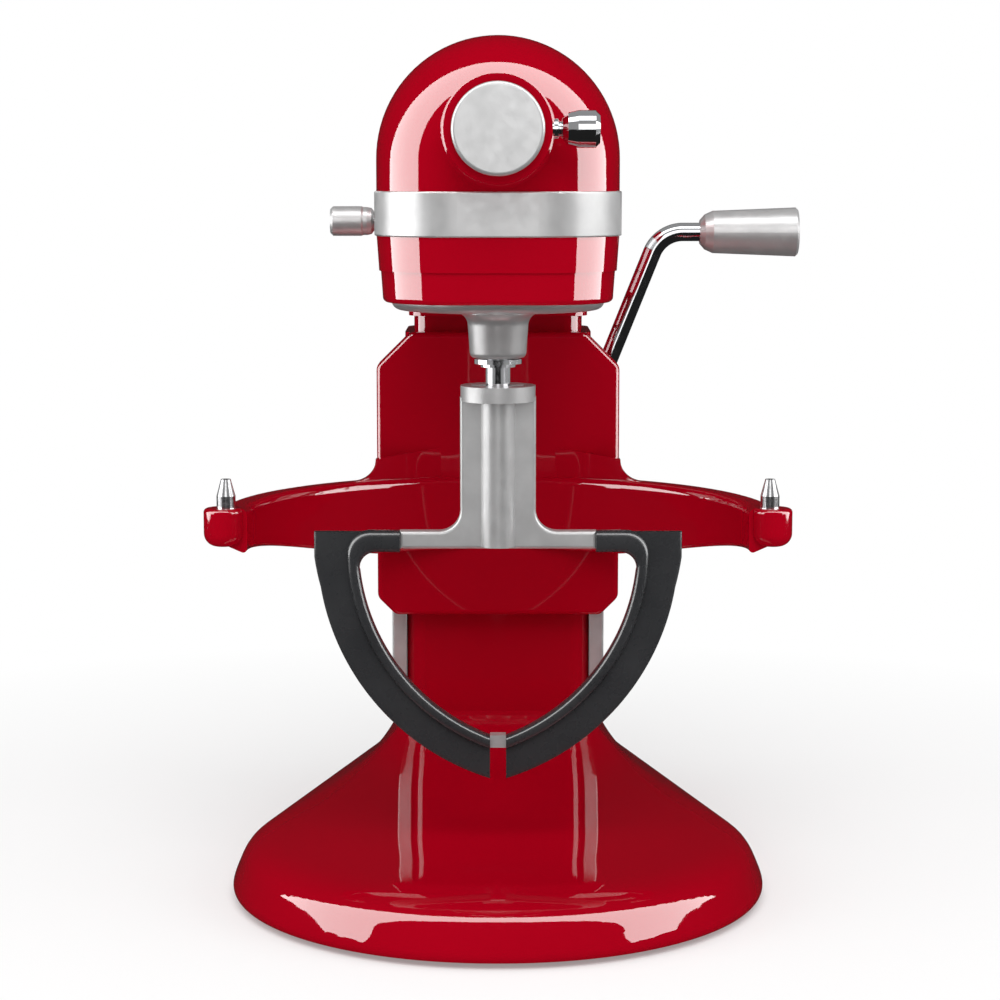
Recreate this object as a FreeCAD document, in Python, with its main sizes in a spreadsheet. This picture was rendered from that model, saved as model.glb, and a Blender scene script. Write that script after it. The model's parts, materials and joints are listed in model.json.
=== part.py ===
import FreeCAD, Part
import math
import os
from collections import namedtuple
from types import SimpleNamespace

import Sketcher
from FreeCAD import Rotation, Vector

# Bowl-lift stand mixer, in millimetres.
# +X is to the right of somebody who faces the mixer, -Y points at them and +Z is up.
# The origin lies on the worktop, straight under the axis of the planetary drive.

# ---------------------------------------------------------------- driving sizes
SIZES = dict(
    # base casting
    base_gap=3, seam_top=59.5, under_inset=9, under_depth=13,
    foot_radius=13, foot_front_x=78, foot_front_y=-72, foot_rear_x=56, foot_rear_y=205,
    # column and rails
    column_half=50.5, column_front=137, column_rear=207, column_top=268, column_wall=6.5,
    neck_half=45.6, neck_top=277, rail_half=58, rail_front=138.5, rail_rear=146,
    slot_half=17, slot_low=150, slot_high=261, rail_top=252,
    # bowl carriage
    plate_front=123.2, plate_half=65.2, plate_low=115.6, plate_high=269, plate_toe=55.5,
    plate_shoulder=47.1, shoulder_low=251, toe_high=125.2, cheek_rear=147, cheek_gap=0.45,
    arm_inner=123, arm_outer=136.5, arm_low=152, arm_bow=250, tip_low=172.4, tip_high=191.2,
    arm_round_low=2, arm_round_high=4, root_round=11, crest_half=24, crest_side=202.3, crest_high=208,
    boss_x=134.5, boss_radius=9.6, pin_radius=4.65, pin_reach=133, pin_low=191.2,
    # lift lever
    lever_y=158, lever_z=225, lever_shaft=6, crank_throw=29.4, crank_angle=50, crank_pin=4,
    lug_play=1.5, rod_radius=5, grip_in=11.5, grip_out=13.3, grip_from=110, grip_to=163.3, grip_z=321.6,
    # head
    head_half=56.3, head_front=84, head_rear=222, head_nose=38, head_tail=44, head_wall=3.5,
    head_seam=345.5, arch_z=360.2, cover_split=178, case_top=325, case_step=309, case_low=294.3,
    band_proud=1, band_wall=3, case_floor=310, recess_top=304.5,
    flange_half=48.4, hub_z=373, hub_radius=24, hub_face=106, hub_flare=2.5, cap_seat=99,
    # attachment hub
    socket_bore=15.5, socket_outer=18.5, socket_back=62, cap_radius=20.6, cap_thick=4.6,
    knob_y=-97, knob_radius=8.25, knob_from=25.3, knob_to=45,
    # speed control
    lever_slide_y=70, lever_slide_z=329.3, lever_rod=2.5, lever_knob=7.5, lever_travel=45,
    # planetary drive
    disc_radius=51.5, disc_low=288.4, disc_high=293.9, offset=30, nose_radius=13.4, nose_low=267,
    shaft_radius=6, drive_shaft=5.9, shaft_low=243,
    # beater
    beater_top=254, ring_low=246.7, ring_half=17.8, stem_half=18, bar_low=176,
    bar_high=184.6, bar_silver=46.8, loop_x=31.6, loop_z=176, loop_in=98.1, loop_cover=104,
    loop_out=118, blade_low_x=3.9, blade_top=184, blade_thick=5, cover_thick=10.4,
    # gear train
    spur_module=1.5, mesh_distance=46.5, centre_teeth=48, pinion_teeth=14, ring_module=1.25, ring_teeth=64,
    planet_teeth=16, face_module=1.25, face_teeth=48, motor_teeth=12, mitre_teeth=16,
    # motor
    motor_z=358, can_radius=34, can_wall=2.5, can_front=95, can_rear=170, armature_radius=25.5,
)

# The base's level outlines from the foot up: a tapered plan with rounded corners. half is its
# half-width where the column stands, lean how far each side draws in towards the rear, and
# front_fill the share of the front edge that its rounded corners take up.
LEVEL_FIELDS = "height front rear half lean front_fill rear_round".split()
BASE_LEVELS = [
    (3, -129.5, 237, 91.2, 15.2, 0.99, 58),
    (6, -131, 238, 92.5, 15.2, 0.99, 60),
    (13, -128.6, 237, 90.5, 15.2, 0.99, 59),
    (19.5, -125.5, 235.8, 87.6, 15.2, 0.99, 57),
    (24, -120, 234.6, 84.4, 15.2, 0.99, 55),
    (26.6, -110, 233, 81, 15, 0.985, 52),
    (28.2, -90, 231.5, 78, 14.4, 0.98, 48),
    (30, -50, 229.5, 75, 13.4, 0.97, 44),
    (32, 0, 227, 72, 11.5, 0.93, 39),
    (34.5, 48, 224, 69, 9, 0.83, 34),
    (37.5, 84, 221, 66, 6.5, 0.68, 29),
    (41.5, 109, 217.5, 62, 4, 0.5, 24),
    (46.5, 124.5, 213.5, 57.4, 2, 0.38, 20),
    (52.5, 133, 209.7, 53.2, 0.6, 0.28, 17),
    (59.5, 137, 207, 50.5, 0, 0.218, 14),
]
for number, level_sizes in enumerate(BASE_LEVELS):
    SIZES.update({f"level{number}_{field}": value for field, value in zip(LEVEL_FIELDS, level_sizes)})

doc = FreeCAD.newDocument("StandMixer")
sheet = doc.addObject("Spreadsheet::Sheet", "Sizes")
for row, (alias, number) in enumerate(SIZES.items(), start=1):
    sheet.set(f"A{row}", alias)
    sheet.set(f"B{row}", str(number))
    sheet.setAlias(f"B{row}", alias)
doc.recompute()


class Size:
    """A length held both as its number and as the formula on the sheet that gives it."""

    def __init__(self, number, formula=None):
        self.number = float(number)
        self.formula = formula or f"{self.number:.9g}"

    def join(self, other, sign, number):
        return Size(number, f"({self.formula} {sign} {other.formula})")

    def __add__(self, other):
        other = size(other)
        return self.join(other, "+", self.number + other.number)

    def __sub__(self, other):
        other = size(other)
        return self.join(other, "-", self.number - other.number)

    def __mul__(self, other):
        other = size(other)
        return self.join(other, "*", self.number * other.number)

    def __truediv__(self, other):
        other = size(other)
        return self.join(other, "/", self.number / other.number)

    def __neg__(self):
        return Size(-self.number, f"(-1 * {self.formula})")

    def __radd__(self, other):
        return size(other) + self

    def __rsub__(self, other):
        return size(other) - self

    def __rmul__(self, other):
        return size(other) * self


def size(value):
    return value if isinstance(value, Size) else Size(value)


def cosine(angle):
    angle = size(angle)
    return Size(math.cos(math.radians(angle.number)), f"cos({angle.formula} * 1deg)")


def sine(angle):
    angle = size(angle)
    return Size(math.sin(math.radians(angle.number)), f"sin({angle.formula} * 1deg)")


def tangent(angle):
    return sine(angle) / cosine(angle)


def root(value):
    value = size(value)
    return Size(math.sqrt(value.number), f"sqrt({value.formula})")


S = SimpleNamespace(**{alias: Size(sheet.get(alias), f"Sizes.{alias}") for alias in SIZES})

# ---------------------------------------------------------------- modelling helpers
PARTS = []
AXES = {
    "x": Rotation(Vector(0, 0, 1), Vector(1, 0, 0)),
    "-x": Rotation(Vector(0, 0, 1), Vector(-1, 0, 0)),
    "y": Rotation(Vector(0, 0, 1), Vector(0, 1, 0)),
    "-y": Rotation(Vector(0, 0, 1), Vector(0, -1, 0)),
    "z": Rotation(),
}

# A corner of an outline: round is the radius that rounds it, arc the radius of the arc that
# leaves it for the next corner, positive where that arc turns to the left.
Corner = namedtuple("Corner", "x y round arc", defaults=(None, None))


def bind(thing, name, value):
    """Give a property its size and tie it to the sheet."""
    thing.setExpression(name, size(value).formula)


def place(thing, at, axis="z", spin=0):
    """Put a piece's own origin at a point, with its own Z along an axis."""
    return place_turned(thing, at, AXES[axis].multiply(Rotation(Vector(0, 0, 1), spin)))


def place_turned(thing, at, turn):
    """Put a piece's own origin at a point, with any turn."""
    thing.Placement = FreeCAD.Placement(Vector(*[size(value).number for value in at]), turn)
    for letter, value in zip("xyz", at):
        bind(thing, f"Placement.Base.{letter}", value)
    return thing


def cylinder(radius, length, at=(0, 0, 0), axis="z", name="Rod"):
    thing = doc.addObject("Part::Cylinder", name)
    bind(thing, "Radius", radius)
    bind(thing, "Height", length)
    return place(thing, at, axis)


def cone(radius, end_radius, length, at=(0, 0, 0), axis="z", name="Taper"):
    thing = doc.addObject("Part::Cone", name)
    bind(thing, "Radius1", radius)
    bind(thing, "Radius2", end_radius)
    bind(thing, "Height", length)
    return place(thing, at, axis)


def block(low, high, name="Block"):
    thing = doc.addObject("Part::Box", name)
    for side, a, b in zip(("Length", "Width", "Height"), low, high):
        bind(thing, side, size(b) - a)
    return place(thing, low)


def cut(base, *tools, name="Cut"):
    thing = doc.addObject("Part::Cut", name)
    thing.Base = base
    thing.Tool = tools[0] if len(tools) == 1 else fuse(*tools, name="Tools")
    return thing


def fuse(*shapes, name="Fuse"):
    thing = doc.addObject("Part::MultiFuse", name)
    thing.Shapes = list(shapes)
    thing.Refine = True
    return thing


def common(a, b, name="Common"):
    thing = doc.addObject("Part::MultiCommon", name)
    thing.Shapes = [a, b]
    return thing


def several(*shapes, name="Group"):
    """Separate solids that share one node."""
    thing = doc.addObject("Part::Compound", name)
    thing.Links = list(shapes)
    return thing


def tube(outer, inner, length, at=(0, 0, 0), axis="z"):
    return cut(cylinder(outer, length, at, axis), cylinder(inner, length, at, axis), name="Tube")


def part(name, thing):
    """Name a finished piece; its label names its file."""
    thing.Label = name
    PARTS.append(thing)
    return thing


def new_body(name="Form"):
    return doc.addObject("PartDesign::Body", name)


def plane_of(body, plane):
    return next(f for f in body.Origin.OriginFeatures if f.Role == f"{plane}_Plane")


def new_sketch(body, plane="XY", offset=0):
    """A sketch on one of the body's own planes. XZ faces -Y, so its offset counts towards -Y."""
    sketch = body.newObject("Sketcher::SketchObject", "Outline")
    sketch.AttachmentSupport = [(plane_of(body, plane), "")]
    sketch.MapMode = "FlatFace"
    bind(sketch, "AttachmentOffset.Base.z", offset)
    return sketch


def pin_down(sketch, geometry, end, axis, value):
    """Fix one coordinate of a point of a sketch."""
    value = size(value)
    if abs(value.number) < 1e-9:
        sketch.addConstraint(Sketcher.Constraint("PointOnObject", geometry, end, -2 if axis == "X" else -1))
        return
    place_in_list = sketch.addConstraint(
        Sketcher.Constraint(f"Distance{axis}", -1, 1, geometry, end, value.number))
    name = f"{axis}{geometry}_{end}"
    sketch.renameConstraint(place_in_list, name)
    bind(sketch, f"Constraints.{name}", value)


def set_radius(sketch, geometry, value):
    place_in_list = sketch.addConstraint(Sketcher.Constraint("Radius", geometry, size(value).number))
    sketch.renameConstraint(place_in_list, f"R{geometry}")
    bind(sketch, f"Constraints.R{geometry}", value)


def add_arc(sketch, start, finish, radius):
    """Add the minor arc between two points and say which of its ends is the start."""
    chord = finish - start
    rise = math.sqrt(max(radius * radius - chord.Length ** 2 / 4, 0))
    left = Vector(-chord.y, chord.x, 0).normalize()
    centre = (start + finish) / 2 + left * math.copysign(rise, radius)
    first, last = (start, finish) if radius > 0 else (finish, start)
    angles = [math.atan2(p.y - centre.y, p.x - centre.x) for p in (first, last)]
    circle = Part.Circle(centre, Vector(0, 0, 1), abs(radius))
    return sketch.addGeometry(Part.ArcOfCircle(circle, *angles), False), 1 if radius > 0 else 2


def outline(sketch, corners):
    """Draw a closed outline through corners, with every coordinate tied to the sheet."""
    corners = [Corner(*corner) for corner in corners]
    points = [Vector(size(c.x).number, size(c.y).number, 0) for c in corners]
    edges = []
    for index, corner in enumerate(corners):
        start, finish = points[index], points[(index + 1) % len(points)]
        if corner.arc is None:
            edges.append((sketch.addGeometry(Part.LineSegment(start, finish), False), 1))
        else:
            edges.append(add_arc(sketch, start, finish, size(corner.arc).number))
    for index, (edge, first_end) in enumerate(edges):
        following, its_first_end = edges[(index + 1) % len(edges)]
        sketch.addConstraint(Sketcher.Constraint("Coincident", edge, 3 - first_end, following, its_first_end))
    for (edge, first_end), corner in zip(edges, corners):
        pin_down(sketch, edge, first_end, "X", corner.x)
        pin_down(sketch, edge, first_end, "Y", corner.y)
        if corner.arc is not None:
            arc = size(corner.arc)
            set_radius(sketch, edge, arc if arc.number > 0 else -arc)
    for index, corner in enumerate(corners):
        if corner.round is not None:
            round_corner(sketch, edges[index - 1][0], edges[index][0], points[index],
                         points[index - 1], points[(index + 1) % len(points)], corner.round)


def round_corner(sketch, edge, following, corner, before, after, radius):
    """Round the corner between two straight edges, and keep the corner as a point."""
    radius = size(radius)
    back = (before - corner).normalize()
    ahead = (after - corner).normalize()
    half_turn = back.getAngle(ahead) / 2
    reach = radius.number / math.tan(half_turn)
    sketch.fillet(edge, following, corner + back * reach, corner + ahead * reach, radius.number, True, True)
    arcs = [i for i, g in enumerate(sketch.Geometry) if isinstance(g, Part.ArcOfCircle)]
    set_radius(sketch, arcs[-1], radius)


def circle(sketch, x, y, radius):
    centre = Vector(size(x).number, size(y).number, 0)
    edge = sketch.addGeometry(Part.Circle(centre, Vector(0, 0, 1), size(radius).number), False)
    set_radius(sketch, edge, radius)
    pin_down(sketch, edge, 3, "X", x)
    pin_down(sketch, edge, 3, "Y", y)


def extrude(body, kind, sketch, length, both_ways=False, back=False, taper=0):
    """Pad or pocket a sketch."""
    feature = body.newObject(f"PartDesign::{kind}", kind)
    feature.Profile = (sketch, [""])
    bind(feature, "Length", length)
    if both_ways:
        feature.SideType = "Symmetric"
    feature.Reversed = back
    if size(taper).number:
        bind(feature, "TaperAngle", taper)
    return feature


def pad(body, sketch, length, **options):
    return extrude(body, "Pad", sketch, length, **options)


def pocket(body, sketch, length, **options):
    """Cut a sketch out of a body, and insist that something was cut."""
    doc.recompute()
    before = body.Shape.Volume
    feature = extrude(body, "Pocket", sketch, length, **options)
    doc.recompute()
    if body.Shape.Volume > before - 0.5:
        raise RuntimeError(f"{body.Label}: {feature.Label} cuts nothing")
    return feature


def revolve(body, sketch, axis="V_Axis", kind="Revolution"):
    feature = body.newObject(f"PartDesign::{kind}", kind)
    feature.Profile = (sketch, [""])
    feature.ReferenceAxis = (sketch, [axis])
    feature.Angle = 360
    return feature


def soften(body, radius, wanted, kind="Fillet", required=True):
    """Round or bevel the edges that a test picks. A round that the kernel refuses is left out."""
    doc.recompute()
    base = body.Tip
    names = [f"Edge{i}" for i, edge in enumerate(base.Shape.Edges, start=1) if wanted(edge)]
    if not names:
        raise RuntimeError(f"{body.Label}: no edge to soften")
    feature = body.newObject(f"PartDesign::{kind}", kind)
    feature.Base = (base, names)
    bind(feature, "Radius" if kind == "Fillet" else "Size", radius)
    doc.recompute()
    if "Invalid" in feature.State or not feature.Shape.isValid():
        if required:
            raise RuntimeError(f"{body.Label}: the kernel refuses {feature.Label} of {size(radius).number}")
        print(f"note: {body.Label} goes without {feature.Label} of {size(radius).number}")
        body.removeObject(feature)
        doc.removeObject(feature.Name)
        body.Tip = base
        doc.recompute()
    return feature


def near(a, b, gap=0.05):
    return abs(a - size(b).number) < gap


def level(edge, z, gap=0.05):
    """True for an edge that lies wholly at one height."""
    return near(edge.BoundBox.ZMin, z, gap) and near(edge.BoundBox.ZMax, z, gap)


def upright(edge):
    """True for a straight vertical edge."""
    box = edge.BoundBox
    return box.XLength < 0.01 and box.YLength < 0.01 and box.ZLength > 0.5


# ---------------------------------------------------------------- base, column and rails
BOLT_SPOTS = [(-33, 151), (33, 151), (-33, 193), (33, 193)]
RAIL_SCREW_HEIGHTS = (72, 160, 244)


def level_outline(sketch, number, inset=0):
    """One level of the base, drawn in by an inset."""
    at = {field: getattr(S, f"level{number}_{field}") for field in LEVEL_FIELDS}
    front, rear, half = at["front"] + inset, at["rear"] - inset, at["half"] - inset
    wide = half + (S.lever_y - front) * tangent(at["lean"])
    narrow = half + (S.lever_y - rear) * tangent(at["lean"])
    ahead = wide * at["front_fill"] * tangent((90 - at["lean"]) / 2)
    behind = at["rear_round"] - inset
    outline(sketch, [
        (-wide, front, ahead), (wide, front, ahead), (narrow, rear, behind), (-narrow, rear, behind)])


def foot_spots():
    return [(side * x, y) for x, y in ((S.foot_front_x, S.foot_front_y), (S.foot_rear_x, S.foot_rear_y))
            for side in (-1, 1)]


def make_base():
    """A bell-shaped casting: its level outlines shrink smoothly from the rim to the foot of the column."""
    body = new_body()
    levels = []
    for number in range(len(BASE_LEVELS)):
        sketch = new_sketch(body, "XY", getattr(S, f"level{number}_height"))
        level_outline(sketch, number)
        levels.append(sketch)
    doc.recompute()
    bell = body.newObject("PartDesign::AdditiveLoft", "Bell")
    bell.Profile = (levels[0], [""])
    bell.Sections = levels[1:]
    doc.recompute()
    under = new_sketch(body, "XY", S.base_gap)
    level_outline(under, 0, S.under_inset)
    pocket(body, under, S.under_depth, back=True)
    feet = new_sketch(body, "XY", S.base_gap)
    for x, y in foot_spots():
        circle(feet, x, y, S.foot_radius + 1)
    pad(body, feet, S.under_depth + 2)
    sockets = new_sketch(body, "XY", S.base_gap)
    for x, y in foot_spots():
        circle(sockets, x, y, 4)
    pocket(body, sockets, 12, back=True)
    bolts = new_sketch(body, "XY", S.base_gap)
    for x, y in BOLT_SPOTS:
        circle(bolts, x, y, 3.7)
    pocket(body, bolts, S.seam_top + 5, back=True)
    return part("base", body)


def make_feet():
    feet = []
    for x, y in foot_spots():
        pad_of_foot = cylinder(S.foot_radius, S.base_gap, (x, y, 0))
        feet.append(fuse(pad_of_foot, cylinder(3.95, 12, (x, y, S.base_gap - 0.5)), name="Foot"))
    part("rubber_feet", several(*feet))


def make_column():
    body = new_body()
    sketch = new_sketch(body, "XY", S.seam_top)
    outline(sketch, [
        (-S.column_half, S.column_front, 11), (S.column_half, S.column_front, 11),
        (S.column_half, S.column_rear, 14), (-S.column_half, S.column_rear, 14)])
    pad(body, sketch, S.column_top - S.seam_top)
    neck = new_sketch(body, "XY", S.column_top)
    outline(neck, [
        (-S.neck_half, S.column_front + 3, 10), (S.neck_half, S.column_front + 3, 10),
        (S.neck_half, S.column_rear - 3, 12), (-S.neck_half, S.column_rear - 3, 12)])
    pad(body, neck, S.neck_top - S.column_top)
    inside = new_sketch(body, "XY", S.seam_top + 10)
    half = S.column_half - S.column_wall
    front, rear = S.column_front + S.column_wall, S.column_rear - S.column_wall
    outline(inside, [(-half, front, 2), (half, front, 2), (half, rear, 8), (-half, rear, 8)])
    pocket(body, inside, S.slot_high - S.seam_top - 8, back=True)
    slot = new_sketch(body, "XZ", -S.column_front)
    outline(slot, [
        (-S.slot_half, S.slot_low, 5), (S.slot_half, S.slot_low, 5),
        (S.slot_half, S.slot_high, 5), (-S.slot_half, S.slot_high, 5)])
    pocket(body, slot, S.column_wall + 1)
    side = new_sketch(body, "YZ", S.column_half)
    circle(side, S.lever_y, S.lever_z, 11)
    pocket(body, side, S.column_wall + 2)
    for height, depth in ((S.seam_top, 12), (S.column_top - 9, 25)):
        holes = new_sketch(body, "XY", height)
        for x, y in BOLT_SPOTS:
            circle(holes, x, y, 3.7)
        circle(holes, 0, 190, 9)
        pocket(body, holes, depth, back=True)
    back = new_sketch(body, "XZ", -S.column_rear)
    circle(back, 0, 90, 7)
    pocket(body, back, S.column_wall + 1, back=True)
    return part("column", body)


def make_bolts(name, head_low, head_high, tip, head_radius=6.5):
    bolts = []
    for x, y in BOLT_SPOTS:
        head = cylinder(head_radius, head_high - head_low, (x, y, head_low))
        socket = cylinder(3, 3, (x, y, head_low))
        shank = cylinder(3.4, tip - head_high + 0.5, (x, y, head_high - 0.5))
        bolts.append(fuse(cut(head, socket), shank, name="Bolt"))
    part(name, several(*bolts))


def make_rail(side, name):
    body = new_body()
    near_x, far_x = side * S.column_half, side * S.rail_half
    sketch = new_sketch(body, "XY", S.seam_top + 2.5)
    outline(sketch, [
        (near_x, S.rail_front), (far_x, S.rail_front), (far_x, S.rail_rear), (near_x, S.rail_rear)])
    pad(body, sketch, S.rail_top - S.seam_top - 2.5)
    soften(body, 1.2, lambda e: upright(e) and near(e.BoundBox.XMin, far_x), required=False)
    holes = new_sketch(body, "YZ", far_x)
    middle = (S.rail_front + S.rail_rear) / 2
    for height in RAIL_SCREW_HEIGHTS:
        circle(holes, middle, height, 2.6)
    pocket(body, holes, 3, back=side < 0)
    part(name, body)


def make_rail_screws():
    middle = (S.rail_front + S.rail_rear) / 2
    screws = []
    for side, axis in ((-1, "x"), (1, "-x")):
        for height in RAIL_SCREW_HEIGHTS:
            head = cylinder(2.5, 1.8, (side * (S.rail_half - 1.1), middle, height), axis)
            screws.append(cut(head, cylinder(1.2, 1, (side * (S.rail_half - 1.1), middle, height), axis)))
    part("rail_screws", several(*screws))


# ---------------------------------------------------------------- bowl carriage
def half_ring(body, inner, outer, low, high):
    """Half of a ring round the bowl's axis, on the side of the column."""
    plan = new_sketch(body, "XY", low)
    outline(plan, [
        (inner, 0, None, inner), (0, inner, None, inner), (-inner, 0),
        (-outer, 0, None, -outer), (0, outer, None, -outer), (outer, 0)])
    pad(body, plan, high - low)


def make_yoke():
    """The band that curves round the bowl and carries its two pins: tall at the plate, low at the tips."""
    body = new_body("Yoke")
    half_ring(body, S.arm_inner, S.arm_outer, S.arm_low, S.tip_high)
    for side in (-1, 1):
        below = new_sketch(body, "XZ")
        outline(below, [
            (side * S.plate_half, S.arm_low - 2), (side * S.plate_half, S.arm_low, None, side * S.arm_bow),
            (side * S.pin_reach, S.tip_low), (side * (S.arm_outer + 5), S.tip_low),
            (side * (S.arm_outer + 5), S.arm_low - 2)])
        pocket(body, below, 4 * S.arm_outer, both_ways=True)
    for radius, top in ((S.arm_round_low, False), (S.arm_round_high, True)):
        soften(body, radius, lambda e, top=top: is_band_edge(e, top), required=False)
    return body


def make_crest():
    """The web that rises from the top of the yoke and runs into the plate."""
    body = new_body("Crest")
    half_ring(body, S.arm_inner + S.arm_round_high, S.arm_outer - S.arm_round_high, S.tip_high - 5, S.crest_high)
    for side in (-1, 1):
        above = new_sketch(body, "XZ")
        outline(above, [
            (side * (S.arm_outer + 5), S.tip_high - 6), (side * (S.plate_half + S.root_round), S.tip_high - 6),
            (side * (S.plate_half + S.root_round), S.tip_high, None, -side * S.root_round),
            (side * S.plate_half, S.crest_side), (side * S.crest_half, S.crest_high),
            (side * S.crest_half, S.crest_high + 5), (side * (S.arm_outer + 5), S.crest_high + 5)])
        pocket(body, above, 4 * S.arm_outer, both_ways=True)
    return body


def is_band_edge(edge, top):
    """True for the long edges along the top or the bottom of the yoke."""
    box = edge.BoundBox
    long = math.hypot(box.XLength, box.YLength) > 30
    return long and (level(edge, S.tip_high) if top else box.ZMax < SIZES["tip_high"] - 5)


def make_tip(side):
    """The round end of an arm, with the socket of its bowl pin."""
    body = new_body("Tip")
    section = new_sketch(body, "XZ")
    outline(section, [
        (0, S.tip_low), (S.boss_radius, S.tip_low, 6.5), (S.boss_radius, S.tip_high, 2), (0, S.tip_high)])
    revolve(body, section)
    place(body, (side * S.boss_x, 0, 0))
    return body


def make_plate():
    body = new_body("Plate")
    plate = new_sketch(body, "XZ", -(S.column_front - 0.5))
    outline(plate, [
        (S.plate_toe, S.plate_low, 5), (S.plate_half, S.toe_high, 6), (S.plate_half, S.shoulder_low, 6),
        (S.plate_shoulder, S.plate_high, 6), (-S.plate_shoulder, S.plate_high, 6),
        (-S.plate_half, S.shoulder_low, 6), (-S.plate_half, S.toe_high, 6), (-S.plate_toe, S.plate_low, 5)])
    pad(body, plate, S.column_front - 0.5 - S.plate_front)
    soften(body, 3, lambda e: near(e.BoundBox.YMax, S.plate_front, 0.1))
    for side in (-1, 1):
        cheek = new_sketch(body, "XY", S.toe_high + 4)
        inner = side * (S.rail_half + S.cheek_gap)
        outer = side * S.plate_half
        outline(cheek, [
            (inner, S.column_front - 2), (outer, S.column_front - 2), (outer, S.cheek_rear), (inner, S.cheek_rear)])
        pad(body, cheek, S.shoulder_low - S.toe_high - 8)
    lug = new_sketch(body, "YZ", -9)
    pin_z = S.lever_z + S.crank_throw * sine(S.crank_angle)
    pin_near = S.lever_y + S.crank_throw * cosine(S.crank_angle)
    pin_far = S.lever_y + S.crank_throw
    tall = S.crank_pin + S.lug_play
    outline(lug, [
        (S.column_front - 2, pin_z - tall - 6), (pin_far + tall + 5, pin_z - tall - 6, 5),
        (pin_far + tall + 5, pin_z + tall + 6, 5), (S.column_front - 2, pin_z + tall + 6)])
    outline(lug, [
        (pin_near - tall, pin_z - tall, 4), (pin_far + tall, pin_z - tall, 4),
        (pin_far + tall, pin_z + tall, 4), (pin_near - tall, pin_z + tall, 4)])
    pad(body, lug, 8)
    return body


def make_carriage():
    pieces = [make_plate(), make_yoke(), make_crest()]
    pieces += [make_tip(side) for side in (-1, 1)]
    sockets = [cylinder(3, 10.5, (side * S.pin_reach, 0, S.tip_high - 10)) for side in (-1, 1)]
    part("carriage", cut(fuse(*pieces, name="Carriage"), *sockets))


def make_bowl_pins():
    pins = []
    for side in (-1, 1):
        spot = (side * S.pin_reach, 0)
        stem = cylinder(2.95, 9, (*spot, S.pin_low - 8.5))
        shank = cylinder(S.pin_radius, 6, (*spot, S.pin_low))
        tip = cone(S.pin_radius, 2.4, 8.2, (*spot, S.pin_low + 6))
        pins.append(fuse(stem, shank, tip, name="Pin"))
    part("bowl_pins", several(*pins))


def make_latch():
    """A bent spring leaf that holds the rear of the bowl against the plate."""
    body = new_body()
    side = new_sketch(body, "YZ")
    face = S.plate_front
    outline(side, [
        (face, 196), (face, 214), (face - 3.5, 226), (face - 1.2, 240), (face - 2.8, 240),
        (face - 5.3, 226), (face - 1.6, 213.5), (face - 1.6, 196)])
    pad(body, side, 22, both_ways=True)
    part("bowl_latch", body)


make_base()
make_feet()
make_column()
make_bolts("column_bolts", S.base_gap + S.under_depth - 6, S.base_gap + S.under_depth, S.seam_top + 9)
make_bolts("neck_bolts", S.slot_high - 5, S.slot_high + 1, S.neck_top + 12)
make_rail(-1, "slide_rail_left")
make_rail(1, "slide_rail_right")
make_rail_screws()
make_carriage()
make_bowl_pins()
make_latch()


# ---------------------------------------------------------------- lift lever
def make_lift_lever():
    reach = S.column_half + 1
    shaft = cylinder(S.lever_shaft, reach + 11.5, (-0.5, S.lever_y, S.lever_z), "x")
    hub = cylinder(9, 11, (reach, S.lever_y, S.lever_z), "x")
    part("lift_shaft", fuse(shaft, hub, name="Shaft"))
    bush = tube(10.95, S.lever_shaft + 0.05, 16, (S.column_half - 15.5, S.lever_y, S.lever_z), "x")
    collar = tube(12.6, 10.9, 3, (S.column_half - S.column_wall - 3, S.lever_y, S.lever_z), "x")
    part("lift_bush", fuse(bush, collar, name="Bush"))

    body = new_body("Crank")
    web = new_sketch(body, "YZ", -0.5)
    pin_y = S.lever_y + S.crank_throw * cosine(S.crank_angle)
    pin_z = S.lever_z + S.crank_throw * sine(S.crank_angle)
    aside_y, aside_z = 8 * sine(S.crank_angle), 8 * cosine(S.crank_angle)
    outline(web, [
        (S.lever_y + aside_y, S.lever_z - aside_z), (pin_y + aside_y, pin_z - aside_z, None, 8.001),
        (pin_y - aside_y, pin_z + aside_z), (S.lever_y - aside_y, S.lever_z + aside_z, None, 8.001)])
    pad(body, web, 6.5)
    bore = new_sketch(body, "YZ", 6)
    circle(bore, S.lever_y, S.lever_z, S.lever_shaft)
    pocket(body, bore, 8)
    pin = new_sketch(body, "YZ", -0.5)
    circle(pin, pin_y, pin_z, S.crank_pin)
    pad(body, pin, 9.5, back=True)
    part("lift_crank", body)


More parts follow.
